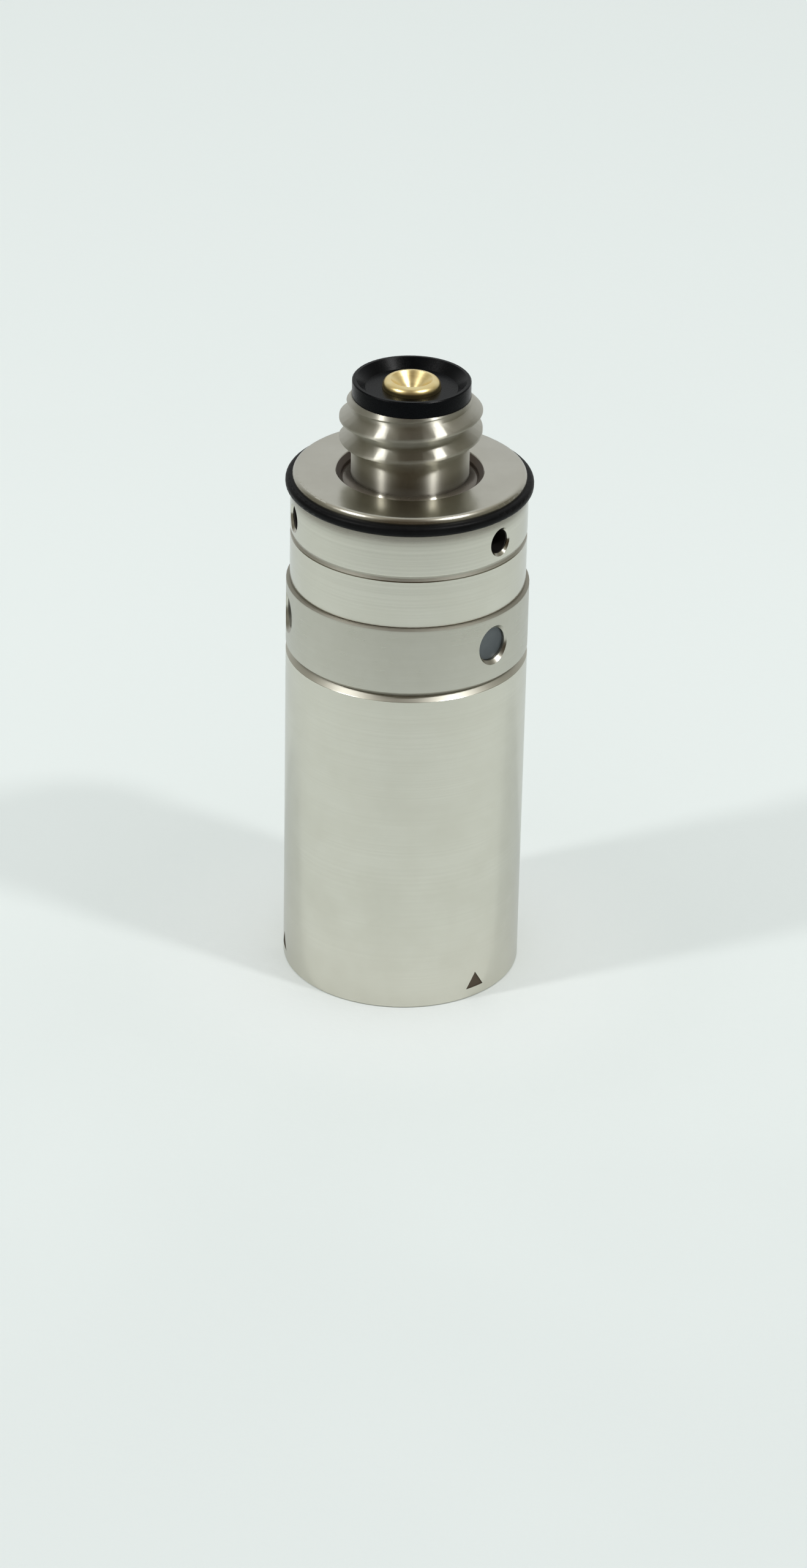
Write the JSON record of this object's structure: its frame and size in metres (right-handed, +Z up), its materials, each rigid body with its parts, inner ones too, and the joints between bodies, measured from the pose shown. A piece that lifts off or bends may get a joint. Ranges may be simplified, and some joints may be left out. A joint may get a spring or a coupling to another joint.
{
  "type": "touch probe",
  "caption": "Cylindrical touch-trigger probe body with a threaded stud, seal ring and centre contact on top and a magnetic stylus seat underneath.",
  "frame": {"origin": "centre of the sleeve's foot, on the surface that it stands on", "axes": "+Z up along the body towards the stud, -Y towards the picture's camera"},
  "size_m": [0.0136, 0.0136, 0.0358],
  "materials": {
    "cap_steel": "fine turned stainless steel",
    "ring_steel": "satin stainless steel",
    "sleeve_steel": "satin stainless steel",
    "seal_rubber": "matt black rubber",
    "insulator_black": "satin black moulding",
    "contact_gold": "gold plated, satin",
    "washer_natural": "natural plastic",
    "nut_brass": "plain brass",
    "lead_copper": "tinned wire",
    "screw_steel": "dark steel",
    "plug_grey": "blue-grey filler",
    "chassis_steel": "machined steel",
    "board_green": "green solder mask",
    "chip_black": "moulded black",
    "component_tan": "small chip components",
    "web_steel": "ground spring steel",
    "gauge_foil": "foil on film",
    "flex_amber": "amber film",
    "pin_steel": "ground steel",
    "plate_steel": "machined steel",
    "roller_steel": "polished hardened steel",
    "magnet_nickel": "nickel plated",
    "cup_iron": "soft iron"
  },
  "bodies": {
    "root": {"mount_cap": "cap_steel", "body_ring": "ring_steel", "sleeve": "sleeve_steel", "seal_ring": "seal_rubber", "contact_insulator": "insulator_black", "centre_contact": "contact_gold", "insulating_washer": "washer_natural", "contact_nut": "nut_brass", "contact_lead": "lead_copper", "set_screws": "screw_steel", "side_plugs": "plug_grey", "chassis": "chassis_steel", "circuit_board": "board_green", "signal_chip": "chip_black", "board_components": "component_tan", "strain_web": "web_steel", "strain_gauges": "gauge_foil", "gauge_flex": "flex_amber", "locating_pin": "pin_steel", "seat_plate": "plate_steel", "seat_rollers": "roller_steel", "seat_screws": "screw_steel", "magnet": "magnet_nickel", "magnet_cup": "cup_iron", "lower_seal": "seal_rubber"}
  },
  "joints": []
}
